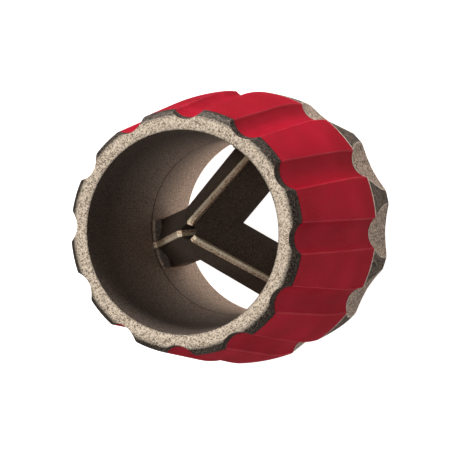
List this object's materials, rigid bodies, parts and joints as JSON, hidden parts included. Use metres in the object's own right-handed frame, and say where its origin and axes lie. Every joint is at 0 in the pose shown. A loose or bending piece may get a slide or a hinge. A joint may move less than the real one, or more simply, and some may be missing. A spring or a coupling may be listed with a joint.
{
  "type": "pipe deburring tool",
  "caption": "Hand tool with a fluted barrel grip and fixed blades in its bore that trim the inner and outer edges of a cut pipe end.",
  "frame": {"origin": "centre of the rear face, on the tool's axis", "axes": "+Z along the tool's axis from the rear face to the mouth, +Y towards blade_1"},
  "size_m": [0.0572, 0.0572, 0.055],
  "materials": {
    "cast_metal": "as cast, fine speckle",
    "red_grip": "textured, semi-gloss",
    "dark_casting": "dark, satin",
    "blade_steel": "ground",
    "pin_steel": "plain"
  },
  "bodies": {
    "root": {"grip_body": "cast_metal", "grip_sleeve": "red_grip", "blade_carrier": "dark_casting", "blade_1": "blade_steel", "blade_2": "blade_steel", "blade_3": "blade_steel", "locking_pin_1": "pin_steel", "locking_pin_2": "pin_steel", "locking_pin_3": "pin_steel"}
  },
  "joints": []
}
